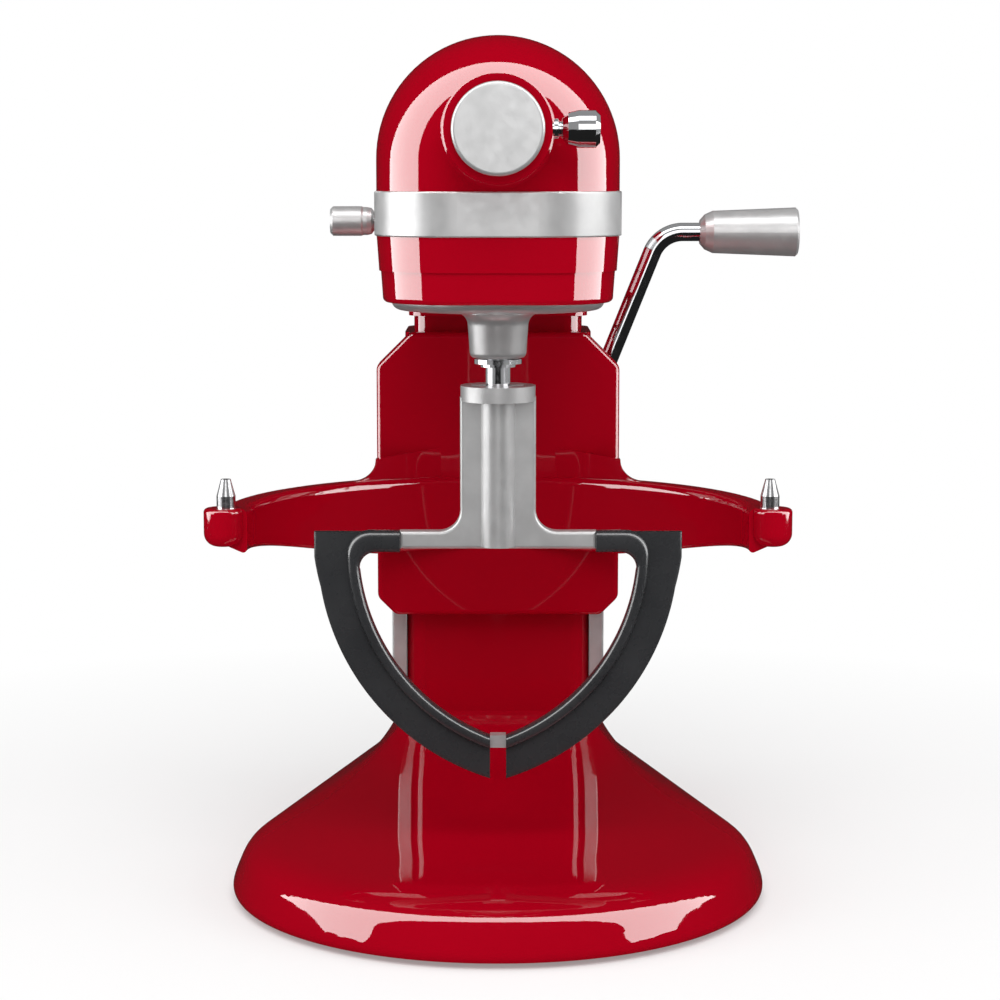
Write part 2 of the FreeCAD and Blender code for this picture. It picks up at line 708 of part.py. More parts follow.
def make_lift_handle():
    body = new_body("Lever")
    hub_x = S.column_half + 7
    foot_z = S.lever_z + 5
    stops = [(hub_x, foot_z), (hub_x + 0.5, S.lever_z + 20), (88.6, S.grip_z), (S.grip_from + 9, S.grip_z)]
    path = new_sketch(body, "XZ", -S.lever_y)
    points = [Vector(size(x).number, size(z).number, 0) for x, z in stops]
    for start, finish in zip(points, points[1:]):
        path.addGeometry(Part.LineSegment(start, finish), False)
    for edge in (0, 1):
        path.addConstraint(Sketcher.Constraint("Coincident", edge, 2, edge + 1, 1))
    for edge, end, (x, z) in ((0, 1, stops[0]), (1, 1, stops[1]), (2, 1, stops[2]), (2, 2, stops[3])):
        pin_down(path, edge, end, "X", x)
        pin_down(path, edge, end, "Y", z)
    for edge, radius in ((0, 18), (1, 18)):
        round_corner(path, edge, edge + 1, points[edge + 1], points[edge], points[edge + 2], radius)
    section = new_sketch(body, "XY", foot_z)
    circle(section, hub_x, S.lever_y, S.rod_radius)
    doc.recompute()
    pipe = body.newObject("PartDesign::AdditivePipe", "Pipe")
    pipe.Profile = (section, [""])
    pipe.Spine = (path, [])
    doc.recompute()
    hub = cylinder(9, 30, (S.column_half - 10, S.lever_y, S.lever_z), "x")
    part("lift_rod", cut(body, hub, name="LiftRod"))

    body = new_body("Grip")
    half = new_sketch(body, "XY")
    long = S.grip_to - S.grip_from
    outline(half, [
        (0, 0), (S.rod_radius + 1.5, 0), (S.grip_in - 2, 2.6), (S.grip_in, 7), (S.grip_out, long - 1.2),
        (S.grip_out - 1.2, long), (0, long)])
    revolve(body, half)
    bore = new_sketch(body, "XZ")
    circle(bore, 0, 0, S.rod_radius)
    pocket(body, bore, 9.5)
    place_turned(body, (S.grip_from, S.lever_y, S.grip_z), Rotation(Vector(0, 1, 0), Vector(1, 0, 0)))
    part("lift_grip", body)


# ---------------------------------------------------------------- head shells
def arch(sketch, inset):
    """The head seen from the front: upright sides under a half-round top."""
    half = S.head_half - inset
    outline(sketch, [
        (half, S.head_seam), (half, S.arch_z, None, half), (0, S.arch_z + half, None, half),
        (-half, S.arch_z), (-half, S.head_seam)])


def head_form(inset, front, rear, nose, tail):
    """A solid with the outline of the head, rounded at both ends."""
    body = new_body("HeadForm")
    sketch = new_sketch(body, "XZ", -rear)
    arch(sketch, inset)
    pad(body, sketch, rear - front)
    soften(body, nose, lambda e: near(e.BoundBox.YMin, front) and near(e.BoundBox.YMax, front)
           and not level(e, S.head_seam))
    soften(body, tail, lambda e: near(e.BoundBox.YMin, rear) and near(e.BoundBox.YMax, rear)
           and not level(e, S.head_seam))
    return body


def make_housing():
    outer = head_form(0, -S.head_front, S.head_rear, S.head_nose, S.head_tail)
    boss = new_sketch(outer, "XZ", S.head_front - 14)
    circle(boss, 0, S.hub_z, S.hub_radius)
    pad(outer, boss, S.hub_face - S.head_front + 14)

    def at_boss(edge):
        box = edge.BoundBox
        return (box.YMin > -SIZES["head_front"] - 0.1 and box.YMax < -50 and box.XMin > -25 and box.XMax < 25
                and 345.6 < box.ZMin and box.ZMax < 400)

    soften(outer, S.hub_flare, at_boss, required=False)
    wall = S.head_wall
    inner = head_form(wall, -S.head_front + wall, S.head_rear - wall, S.head_nose - wall, S.head_tail - wall)
    rear_half = block((-80, S.cover_split, S.head_seam - 1), (80, S.head_rear + 5, 440))
    socket = cylinder(S.socket_outer, 60, (0, -S.socket_back + 8, S.hub_z), "-y")
    knob_way = cylinder(3.4, 30, (0, S.knob_y, S.hub_z), "x")
    part("upper_housing", cut(outer, inner, rear_half, socket, knob_way, name="UpperHousing"))

    plain = head_form(0, -S.head_front, S.head_rear, S.head_nose, S.head_tail)
    hollow = head_form(wall, -S.head_front + wall, S.head_rear - wall, S.head_nose - wall, S.head_tail - wall)
    keep = block((-80, S.cover_split + 0.5, S.head_seam + 0.3), (80, S.head_rear + 5, 440))
    slots = [block((-22, S.head_rear - 12, z), (22, S.head_rear + 1, z + 3)) for z in range(354, 384, 6)]
    screw_ways = [cylinder(2.6, 20, (side * 40, S.head_rear - 25, 362), "y") for side in (-1, 1)]
    part("rear_cover", cut(common(plain, keep), hollow, *slots, *screw_ways, name="RearCover"))


def case_plan(sketch, half, front, rear, nose, tail):
    outline(sketch, [(-half, -front, nose), (half, -front, nose), (half, rear, tail), (-half, rear, tail)])


def make_band():
    body = new_body("Band")
    sketch = new_sketch(body, "XY", S.case_top)
    proud = S.band_proud
    case_plan(sketch, S.head_half + proud, S.head_front + proud, S.head_rear + proud,
              S.head_nose + proud, S.head_tail + proud)
    back = S.band_wall - proud
    case_plan(sketch, S.head_half - back, S.head_front - back, S.head_rear - back,
              S.head_nose - back, S.head_tail - back)
    pad(body, sketch, S.head_seam - S.case_top)
    soften(body, 0.7, lambda e: abs(e.BoundBox.XMin) > SIZES["head_half"] + 0.5
           or abs(e.BoundBox.XMax) > SIZES["head_half"] + 0.5
           or e.BoundBox.YMin < -SIZES["head_front"] - 0.5 or e.BoundBox.YMax > SIZES["head_rear"] + 0.5,
           required=False)
    slot = new_sketch(body, "YZ", -S.head_half + 3)
    tall = S.lever_rod + 0.4
    low, high = S.lever_slide_z - tall, S.lever_slide_z + tall
    outline(slot, [
        (S.lever_slide_y - S.lever_travel - tall, low, 2), (S.lever_slide_y + tall, low, 2),
        (S.lever_slide_y + tall, high, 2), (S.lever_slide_y - S.lever_travel - tall, high, 2)])
    pocket(body, slot, 8, back=False)
    part("trim_band", body)


def make_gear_case():
    body = new_body("GearCase")
    upper = new_sketch(body, "XY", S.case_step)
    case_plan(upper, S.head_half - 1.1, S.head_front - 1.1, S.head_rear - 1.1,
              S.head_nose - 1, S.head_tail - 1)
    pad(body, upper, S.case_top - S.case_step, taper=3.9)
    lower = new_sketch(body, "XY", S.case_step)
    case_plan(lower, S.head_half - 1.9, S.head_front - 1.9, S.head_rear - 1.9,
              S.head_nose - 1.8, S.head_tail - 1.8)
    pad(body, lower, S.case_step - S.case_low, back=True, taper=-4)
    soften(body, 2.5, lambda e: level(e, S.case_low) and e.BoundBox.YMin < 130, required=False)
    flange = new_sketch(body, "XY", S.case_low + 1)
    outline(flange, [
        (-S.flange_half, S.column_front - 1, 11), (S.flange_half, S.column_front - 1, 11),
        (S.flange_half, S.column_rear, 13), (-S.flange_half, S.column_rear, 13)])
    pad(body, flange, S.case_low + 1 - S.neck_top, back=True)
    inside = new_sketch(body, "XY", S.case_top)
    case_plan(inside, 51.3, S.head_front - 9, S.head_rear - 9, S.head_nose - 9, S.head_tail - 9)
    pocket(body, inside, S.case_top - S.case_floor)
    recess = new_sketch(body, "XY", S.case_low)
    circle(recess, 0, 0, 46.5)
    pocket(body, recess, S.recess_top - S.case_low, back=True)
    posts = new_sketch(body, "XY", S.case_floor - 1)
    circle(posts, 0, 0, 16)
    circle(posts, 0, S.mesh_distance, 15)
    pad(body, posts, 8)
    shaft_ways = new_sketch(body, "XY", S.case_floor + 7)
    circle(shaft_ways, 0, 0, 12)
    pocket(body, shaft_ways, 14)
    blind = new_sketch(body, "XY", S.case_floor + 7)
    circle(blind, 0, S.mesh_distance, 11)
    pocket(body, blind, 11)
    bolts = new_sketch(body, "XY", S.neck_top)
    for x, y in BOLT_SPOTS:
        circle(bolts, x, y, 3.7)
    circle(bolts, 0, 190, 9)
    pocket(body, bolts, 40, back=True)
    part("gear_case", body)


def make_hub_parts():
    socket = tube(S.socket_outer - 0.05, S.socket_bore, S.hub_face - S.socket_back + 0.6,
                  (0, -S.socket_back, S.hub_z), "-y")
    mouth = cylinder(S.socket_bore + 1, 10, (0, -S.cap_seat, S.hub_z), "-y")
    way = cylinder(3.4, 30, (0, S.knob_y, S.hub_z), "x")
    part("hub_socket", cut(socket, mouth, way, name="Socket"))

    body = new_body("Cap")
    half = new_sketch(body, "XY")
    thick, radius = S.cap_thick, S.cap_radius
    plug, depth = S.socket_bore + 0.6, S.cap_seat - S.hub_face - 0.2
    outline(half, [
        (0, depth), (plug, depth), (plug, 0), (radius - 0.8, 0), (radius, 0.8),
        (radius, thick - 1.6, None, 1.6), (radius - 1.6, thick), (0, thick)])
    revolve(body, half)
    place_turned(body, (0, -S.hub_face - 0.7, S.hub_z), Rotation(Vector(0, 0, 1), 180))
    part("hub_cap", body)

    body = new_body("Knob")
    half = new_sketch(body, "XY")
    long = S.knob_to - S.knob_from
    outline(half, [
        (0, -8.5), (3, -8.5), (3, -0.6), (4.6, -0.6), (4.6, 1.2), (3.4, 1.7), (3.4, 2.6), (4.8, 3.2),
        (7.2, 5.6), (S.knob_radius, 10), (S.knob_radius, long - 2), (S.knob_radius - 2, long), (0, long)])
    revolve(body, half)
    place_turned(body, (S.knob_from, S.knob_y, S.hub_z), Rotation(Vector(0, 1, 0), Vector(1, 0, 0)))
    part("hub_knob", body)


def make_speed_control():
    at = (-46.5, S.lever_slide_y, S.lever_slide_z)
    rod = cylinder(S.lever_rod, 20, at, "-x")
    slider = block((-46.5, S.lever_slide_y - 4, 325.8), (-41, S.lever_slide_y + 4, S.lever_slide_z + 3))
    part("speed_lever", fuse(rod, slider, name="Lever"))
    body = new_body("Knob")
    half = new_sketch(body, "XY", 0)
    outline(half, [
        (0, 0), (5, 0), (6.6, 1.2), (7.1, 3.4), (7.1, 5.4), (S.lever_knob, 6.4), (S.lever_knob, 20.8),
        (S.lever_knob - 1.4, 22.2), (0, 22.2)])
    revolve(body, half)
    bore = new_sketch(body, "XZ", 0)
    circle(bore, 0, 0, S.lever_rod)
    pocket(body, bore, 3.3)
    place_turned(body, (-63.2, S.lever_slide_y, S.lever_slide_z), Rotation(Vector(0, 1, 0), Vector(-1, 0, 0)))
    part("speed_knob", body)
    switch = block((-50.5, S.lever_slide_y - S.lever_travel - 7, S.case_floor),
                   (-38.5, S.lever_slide_y + 7, 325.4))
    part("speed_switch", switch)


make_lift_lever()
make_lift_handle()
make_housing()
make_band()
make_gear_case()
make_hub_parts()
make_speed_control()


# ---------------------------------------------------------------- gears
TOOTH = SimpleNamespace(above=0.8, below=1.15, share=0.42, lean=math.tan(math.radians(20)))


def z_axis(body):
    return next(f for f in body.Origin.OriginFeatures if f.Role == "Z_Axis")


def repeat_round(body, feature, count):
    turned = body.newObject("PartDesign::PolarPattern", "Teeth")
    turned.Originals = [feature]
    turned.Axis = (z_axis(body), [""])
    turned.Angle = 360
    bind(turned, "Occurrences", count)
    body.Tip = turned
    doc.recompute()


def half_tooth(module, height, share=TOOTH.share):
    """Half of a tooth's thickness at a height above its pitch line."""
    return module * (math.pi * share / 2) - height * TOOTH.lean


def spur_gear(name, teeth, module, width, bore, at, axis="z", spin=0, hub=None):
    body = new_body("Gear")
    pitch = module * teeth / 2
    low, high = pitch - module * TOOTH.below, pitch + module * TOOTH.above
    disc = new_sketch(body, "XY")
    circle(disc, 0, 0, low)
    circle(disc, 0, 0, bore)
    pad(body, disc, width)
    if hub:
        boss = new_sketch(body, "XY")
        circle(boss, 0, 0, hub[0])
        circle(boss, 0, 0, bore)
        pad(body, boss, hub[1], back=True)
    tooth = new_sketch(body, "XY")
    wide = half_tooth(module, -module * TOOTH.below)
    slim = half_tooth(module, module * TOOTH.above)
    outline(tooth, [(low - 0.4, -wide), (high, -slim), (high, slim), (low - 0.4, wide)])
    repeat_round(body, pad(body, tooth, width), teeth)
    place(body, at, axis, spin)
    return part(name, body)


def make_ring_gear():
    body = new_body("RingGear")
    module, teeth = S.ring_module, S.ring_teeth
    pitch = module * teeth / 2
    inner, outer = pitch - module * TOOTH.above, pitch + module * TOOTH.below
    disc = new_sketch(body, "XY")
    circle(disc, 0, 0, 46.4)
    circle(disc, 0, 0, inner)
    pad(body, disc, 7.4)
    space = new_sketch(body, "XY")
    share = 1 - TOOTH.share
    wide = half_tooth(module, -module * TOOTH.above - 0.4, share)
    slim = half_tooth(module, module * TOOTH.below, share)
    outline(space, [(inner - 0.4, -wide), (outer, -slim), (outer, slim), (inner - 0.4, wide)])
    repeat_round(body, pocket(body, space, 8, back=True), teeth)
    place(body, (0, 0, S.recess_top - 7.5))
    part("ring_gear", body)


def make_face_wheel():
    """A crown wheel: its teeth stand on its upper face and mesh with the motor pinion."""
    body = new_body("FaceWheel")
    module, teeth = S.face_module, S.face_teeth
    pitch = module * teeth / 2
    disc = new_sketch(body, "XY")
    circle(disc, 0, 0, pitch + 3.2)
    circle(disc, 0, 0, 5)
    pad(body, disc, module * TOOTH.below + 4, back=True)
    tooth = new_sketch(body, "YZ", pitch - 3)
    high = module * TOOTH.above
    wide = half_tooth(module, -module * TOOTH.below, 0.38)
    slim = half_tooth(module, high, 0.38)
    floor = module * -TOOTH.below
    lift = new_sketch(body, "XY", floor)
    circle(lift, 0, 0, pitch + 4)
    circle(lift, 0, 0, 8)
    pocket(body, lift, 5, back=True)
    outline(tooth, [(-wide, floor - 0.4), (wide, floor - 0.4), (slim, high), (-slim, high)])
    repeat_round(body, pad(body, tooth, 6), teeth)
    place(body, (0, S.mesh_distance, S.motor_z - module * S.motor_teeth / 2))
    part("crown_wheel", body)


def mitre_gear(name, bore, axis, spin):
    """A bevel gear at 45 degrees, with the point of its cone at its own origin."""
    body = new_body("Mitre")
    teeth = S.mitre_teeth
    back, front = 14.4, 9.4
    module = 2 * back / teeth.number
    low, high = 0.815, 1.15
    core = new_sketch(body, "XZ")
    outline(core, [
        (bore, -back - 4.6), (8.6, -back - 4.6), (8.6, -back - 2.2), (low * back, -back),
        (low * front, -front), (bore, -front)])
    revolve(body, core)
    sections = []
    for depth in (back, front):
        scale = depth / back
        wide = half_tooth(module, -module * TOOTH.below, 0.4) * scale
        slim = half_tooth(module, module * TOOTH.above, 0.4) * scale
        section = new_sketch(body, "XY", -depth)
        outline(section, [
            ((low - 0.03) * depth, -wide), (high * depth, -slim), (high * depth, slim),
            ((low - 0.03) * depth, wide)])
        sections.append(section)
    doc.recompute()
    tooth = body.newObject("PartDesign::AdditiveLoft", "Tooth")
    tooth.Profile = (sections[0], [""])
    tooth.Sections = [(sections[1], [""])]
    tooth.Ruled = True
    doc.recompute()
    repeat_round(body, tooth, teeth)
    place(body, (0, 0, S.hub_z), axis, spin)
    part(name, body)


def make_gears():
    spur_gear("centre_gear", S.centre_teeth, S.spur_module, 9, S.shaft_radius, (0, 0, 329), hub=(12, 6))
    spur_gear("drive_pinion", S.pinion_teeth, S.spur_module, 11, 5, (0, S.mesh_distance, 328), hub=(7.5, 5))
    spur_gear("planet_pinion", S.planet_teeth, S.ring_module, 6.6, S.drive_shaft,
              (0, -S.offset, S.recess_top - 7.6))
    spur_gear("motor_pinion", S.motor_teeth, S.face_module, 6.4, 4,
              (0, S.mesh_distance + 26.8, S.motor_z), axis="y", spin=15)
    make_ring_gear()
    make_face_wheel()
    mitre_gear("mitre_pinion", S.shaft_radius, "z", 0)
    mitre_gear("hub_mitre", S.shaft_radius, "y", 11.25)


# ---------------------------------------------------------------- shafts, bearings and bracket
def make_shafts():
    part("centre_shaft", cylinder(S.shaft_radius, 75, (0, 0, 287.5)))
    part("intermediate_shaft", cylinder(5, 46.5, (0, S.mesh_distance, 306.6)))
    part("motor_shaft", cylinder(4, 120, (0, 71, S.motor_z), "y"))
    spindle = cylinder(S.shaft_radius, 42, (0, -12, S.hub_z), "-y")
    sleeve = cylinder(9, 14, (0, -46, S.hub_z), "-y")
    square = block((-4, -61, S.hub_z - 4), (4, -49, S.hub_z + 4))
    part("hub_shaft", cut(fuse(spindle, sleeve), square, name="HubShaft"))
    lower = tube(12, S.shaft_radius + 0.06, 8, (0, 0, 305))
    upper = tube(12, S.shaft_radius + 0.06, 8, (0, 0, 342))
    part("centre_bearings", several(lower, upper))
    part("intermediate_bearing", tube(11, 5.06, 10, (0, S.mesh_distance, 306.6)))
    part("hub_bearing", tube(12, S.shaft_radius + 0.06, 10, (0, -31.5, S.hub_z), "-y"))
    ends = [tube(11, 4.06, 6, (0, y, S.motor_z), "y") for y in (88, 166)]
    part("motor_bearings", several(*ends))
    bar = block((-48, -13, 342), (48, 13, 350))
    posts = [cylinder(4.5, 33, (side * 43.5, 0, S.case_floor)) for side in (-1, 1)]
    shelf = block((-20, -42, 342), (20, -12, 350))
    wall = block((-20, -42, 342), (20, -31, 389))
    ways = [cylinder(12, 12, (0, 0, 340)), cylinder(12, 14, (0, -30, S.hub_z), "-y")]
    part("gearbox_bracket", cut(fuse(bar, *posts, shelf, wall), *ways, name="Bracket"))


# ---------------------------------------------------------------- motor and electrics
def make_motor():
    mount = block((-40, 88, S.case_floor), (40, 94, 392))
    relief = [cylinder(4, 8, (side * 30, 87, z), "y") for side in (-1, 1) for z in (326, 380)]
    part("motor_mount", cut(mount, cylinder(11, 8, (0, 87, S.motor_z), "y"), *relief, name="Mount"))
    long = S.can_rear + 2 - 94
    shell = tube(S.can_radius, S.can_radius - S.can_wall, long, (0, 94, S.motor_z), "y")
    rear = tube(S.can_radius - 1, 11, 6, (0, 166, S.motor_z), "y")
    part("motor_can", fuse(shell, rear, name="Can"))
    magnets = tube(S.can_radius - S.can_wall - 0.05, 27, 48, (0, 99, S.motor_z), "y")
    gap = block((-40, 98, S.motor_z - 7), (40, 148, S.motor_z + 7))
    part("field_magnets", cut(magnets, gap, name="Magnets"))

    body = new_body("Armature")
    core = new_sketch(body, "XY")
    circle(core, 0, 0, S.armature_radius)
    circle(core, 0, 0, 4)
    pad(body, core, 36)
    groove = new_sketch(body, "XY")
    rim = S.armature_radius
    outline(groove, [
        (11, -1.6), (19, -3.2), (22.5, -2.6), (22.5, -1), (rim + 1, -1), (rim + 1, 1), (22.5, 1),
        (22.5, 2.6), (19, 3.2), (11, 1.6)])
    repeat_round(body, pocket(body, groove, 38, back=True), 12)
    place(body, (0, 104, S.motor_z), "y")
    part("armature", body)
    coils = []
    for start in (97.5, 140.2):
        coils.append(tube(21, 6.5, 6.3, (0, start, S.motor_z), "y"))
    part("armature_windings", several(*coils))
    part("commutator", tube(9, 4, 10, (0, 149, S.motor_z), "y"))

    holders, brushes = [], []
    for side in (-1, 1):
        low, high = sorted((side * 12, side * 30))
        case = block((low, 149.5, S.motor_z - 5), (high, 158.5, S.motor_z + 5))
        hollow = block((low - 1, 151, S.motor_z - 3.5), (high + 1, 157, S.motor_z + 3.5))
        holders.append(cut(case, hollow))
        low, high = sorted((side * 9.3, side * 22))
        brushes.append(block((low, 151.1, S.motor_z - 3.4), (high, 156.9, S.motor_z + 3.4)))
    ring = tube(31.4, 27.5, 9, (0, 149.5, S.motor_z), "y")
    part("brush_holders", fuse(ring, *holders, name="Holders"))
    part("carbon_brushes", several(*brushes))

    hub = tube(8, 4, 12, (0, 176, S.motor_z), "y")
    disc = tube(28, 4, 1.6, (0, 176, S.motor_z), "y")
    blades = []
    for step in range(10):
        blade = doc.addObject("Part::Box", "Blade")
        for side, length in zip(("Length", "Width", "Height"), (20, 1.4, 11)):
            bind(blade, side, length)
        angle = math.radians(36 * step)
        at = (7 * math.cos(angle), 176.5, S.motor_z.number + 7 * math.sin(angle))
        turn = Rotation(Vector(1, 0, 0), -90).multiply(Rotation(Vector(0, 0, 1), -36 * step))
        blade.Placement = FreeCAD.Placement(Vector(*at), turn)
        blades.append(blade)
    part("cooling_fan", fuse(hub, disc, *blades, name="Fan"))


def make_electrics():
    board = block((-38, 102, S.case_floor + 4), (38, 184, S.case_floor + 5.6))
    legs = [cylinder(3, 4, (x, y, S.case_floor)) for x in (-32, 32) for y in (108, 178)]
    chips = [block((x, y, 315.4), (x + dx, y + dy, 315.6 + dz)) for x, y, dx, dy, dz in (
        (-30, 112, 14, 18, 4), (-8, 120, 10, 10, 3), (10, 112, 20, 12, 6), (-30, 150, 12, 22, 5),
        (6, 150, 8, 8, 2.5))]
    cans = [cylinder(4, 6.5, (x, 170, 315.4)) for x in (-6, 6, 18)]
    part("control_board", fuse(board, *legs, *chips, *cans, name="Board"))
    flange = tube(10.5, 3.8, 3, (0, S.column_rear + 3, 90), "-y")
    neck = tube(6.95, 3.8, 9, (0, S.column_rear + 0.5, 90), "-y")
    nose = cut(cone(8.6, 5.6, 14, (0, S.column_rear + 2.9, 90), "y"),
               cylinder(3.8, 16, (0, S.column_rear + 2, 90), "y"), name="Nose")
    part("cord_gland", fuse(flange, neck, nose, name="Gland"))


# ---------------------------------------------------------------- planetary drive
def make_planetary():
    body = new_body("Disc")
    half = new_sketch(body, "XZ")
    outer, low, high = S.disc_radius, S.disc_low, S.disc_high
    outline(half, [
        (0, low), (outer - 4.4, low, None, 4.4), (outer, low + 4.4), (outer, high), (9.5, high),
        (9.5, high + 9.6), (0, high + 9.6)])
    revolve(body, half)
    nose = new_body("Nose")
    section = new_sketch(nose, "XZ")
    radius, bottom = S.nose_radius, S.nose_low
    outline(section, [
        (0, bottom), (radius - 2.6, bottom, None, 2.6), (radius, bottom + 2.6),
        (radius + 0.9, low - 6, None, -6), (radius + 6.9, low), (radius + 6.9, low + 2), (0, low + 2)])
    revolve(nose, section)
    place(nose, (0, -S.offset, 0))
    trim = cylinder(S.disc_radius - 1.2, 40, (0, 0, bottom - 1))
    form = fuse(body, common(nose, trim), name="Housing")
    ways = [cylinder(S.shaft_radius, 30, (0, 0, 287.5)),
            cylinder(S.drive_shaft + 0.08, 40, (0, -S.offset, 260))]
    part("planetary_housing", cut(form, *ways, name="PlanetaryHousing"))


def make_agitator_drive():
    axis = (0, -S.offset)
    shaft = cylinder(S.drive_shaft, 304 - S.shaft_low, (*axis, S.shaft_low))
    collar = cylinder(9, 2, (*axis, S.disc_high + 0.4))
    ring = cylinder(11.4, 2.2, (*axis, S.nose_low - 2.6))
    lip = cylinder(8.4, 1.8, (*axis, S.nose_low - 4.2))
    part("agitator_shaft", cut(fuse(shaft, collar, ring, lip, name="Shaft"),
                               cylinder(2.2, 30, (-15, -S.offset, 249), "x"), name="AgitatorShaft"))
    part("drive_pin", cylinder(2.2, 23, (-11.5, -S.offset, 249), "x"))


# ---------------------------------------------------------------- beater
def on_ring(radius, x):
    """The height at which a ring of the loop passes an upright line."""
    return S.loop_z - root(radius * radius - (x + S.loop_x) * (x + S.loop_x))


def beside_ring(radius, z):
    """How far out a ring of the loop passes a level line."""
    return root(radius * radius - (S.loop_z - z) * (S.loop_z - z)) - S.loop_x


def loop_outline(sketch, side, inner, outer, low, high, start, end, turn_in, turn_out):
    """A bar that leaves the crossbar, bends down and follows the loop to its foot."""
    shoulder = 165
    outline(sketch, [
        (side * start, high), (side * (beside_ring(outer, shoulder) + 0.3), high, turn_out),
        (side * beside_ring(outer, shoulder), shoulder, None, -side * outer),
        (side * end, on_ring(outer, end)), (side * end, on_ring(inner, end), None, side * inner),
        (side * beside_ring(inner, shoulder), shoulder),
        (side * (beside_ring(inner, shoulder) + 0.3), low, turn_in), (side * start, low)])


def rod_outline(sketch, side):
    loop_outline(sketch, side, S.loop_in + 1.5, S.loop_cover - 1.5, S.bar_low + 0.2, S.bar_high - 2.2,
                 S.bar_silver - 1, 2, 5, 7)


def make_beater():
    body = new_body("Beater")
    profile = new_sketch(body, "XZ", S.offset)
    half, foot = S.stem_half, 10
    outline(profile, [
        (half, S.ring_low + 2), (half, S.bar_high + foot, None, foot), (half + foot, S.bar_high),
        (S.bar_silver, S.bar_high), (S.bar_silver, S.bar_low), (-S.bar_silver, S.bar_low),
        (-S.bar_silver, S.bar_high), (-half - foot, S.bar_high, None, foot), (-half, S.bar_high + foot),
        (-half, S.ring_low + 2)])
    pad(body, profile, 8, both_ways=True)
    soften(body, 1.6, lambda e: e.BoundBox.YLength < 0.01, required=False)
    for side in (-1, 1):
        rod = new_sketch(body, "XZ", S.offset)
        rod_outline(rod, side)
        pad(body, rod, 6, both_ways=True)
    link = new_sketch(body, "XZ", S.offset)
    foot_z = on_ring(S.loop_cover - 1.5, 2)
    outline(link, [(-3.8, foot_z), (3.8, foot_z), (3.8, foot_z + 6), (-3.8, foot_z + 6)])
    pad(body, link, 7, both_ways=True)
    axis = (0, -S.offset)
    rib = cylinder(9, S.ring_low - S.bar_low, (*axis, S.bar_low + 1))
    ring = cylinder(S.ring_half, S.beater_top - S.ring_low, (*axis, S.ring_low))
    bore = cylinder(S.drive_shaft + 0.35, 20, (*axis, S.shaft_low - 1))
    slot = block((-12.5, -S.offset - 2.6, 245.5), (12.5, -S.offset + 2.6, S.beater_top + 1))
    part("beater_frame", cut(fuse(body, rib, ring, name="Frame"), bore, slot, name="BeaterFrame"))


def make_wiper(side, name):
    body = new_body("Wiper")
    end = S.blade_low_x
    blade = new_sketch(body, "XZ", S.offset)
    outline(blade, [
        (side * S.bar_silver, S.bar_high), (side * 87.9, S.blade_top),
        (side * beside_ring(S.loop_out, 168), 168, None, -side * S.loop_out),
        (side * (end + 2.4), on_ring(S.loop_out, end + 2.4)), (side * end, on_ring(S.loop_cover, end)),
        (side * end, on_ring(S.loop_in, end), None, side * S.loop_in),
        (side * beside_ring(S.loop_in, 165), 165), (side * (beside_ring(S.loop_in, 165) + 0.3), S.bar_low - 1.8, 8),
        (side * S.bar_silver, S.bar_low - 1.8)])
    pad(body, blade, S.blade_thick, both_ways=True)
    cover = new_sketch(body, "XZ", S.offset)
    loop_outline(cover, side, S.loop_in, S.loop_cover, S.bar_low - 1.8, S.bar_high, S.bar_silver, end, 8, 11)
    pad(body, cover, S.cover_thick, both_ways=True)
    rod = new_sketch(body, "XZ", S.offset)
    rod_outline(rod, side)
    pocket(body, rod, 6, both_ways=True)
    part(name, body)


make_gears()
make_shafts()
make_motor()
make_electrics()
make_planetary()
make_agitator_drive()
make_beater()
make_wiper(-1, "wiper_left")
make_wiper(1, "wiper_right")


# ---------------------------------------------------------------- check and write
def is_sound(thing):
    return not ({"Invalid", "Error"} & set(thing.State))


doc.recompute()
failed = [thing.Label for thing in doc.Objects if not is_sound(thing)]
if failed:
    raise RuntimeError(f"these features failed: {failed}")
os.makedirs("parts", exist_ok=True)
for piece in PARTS:
    shape = piece.Shape
    if shape.isNull() or not shape.isValid() or not shape.Solids:
        raise RuntimeError(f"{piece.Label} is not a sound solid")
    shape.exportStep(f"parts/{piece.Label}.step")
print(f"{len(PARTS)} parts written")
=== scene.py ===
import json
import math

import bmesh
import bpy
from mathutils import Matrix, Vector


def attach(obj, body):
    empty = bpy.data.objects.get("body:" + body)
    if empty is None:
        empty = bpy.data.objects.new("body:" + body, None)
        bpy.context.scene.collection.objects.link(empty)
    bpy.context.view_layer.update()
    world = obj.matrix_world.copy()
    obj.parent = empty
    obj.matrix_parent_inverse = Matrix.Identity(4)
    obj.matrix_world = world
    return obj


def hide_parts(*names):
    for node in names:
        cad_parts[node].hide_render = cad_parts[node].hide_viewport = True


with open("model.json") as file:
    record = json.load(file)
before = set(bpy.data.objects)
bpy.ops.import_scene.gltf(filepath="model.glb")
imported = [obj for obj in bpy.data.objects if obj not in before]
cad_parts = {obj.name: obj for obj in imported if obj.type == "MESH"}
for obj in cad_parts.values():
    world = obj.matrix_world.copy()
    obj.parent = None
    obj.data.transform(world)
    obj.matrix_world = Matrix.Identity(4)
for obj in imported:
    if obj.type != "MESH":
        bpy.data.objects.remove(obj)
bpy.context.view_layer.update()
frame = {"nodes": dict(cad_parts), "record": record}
NODES = frame["nodes"]
SLOT_OF = {part["node"]: part["material_slot"] for part in frame["record"]["subparts"]}


# ---------------------------------------------------------------- materials

NOISE_SPAN = (0.3, 0.7)         # the part of a noise map's range that is put to use
LEAST_ROUGHNESS = 0.02


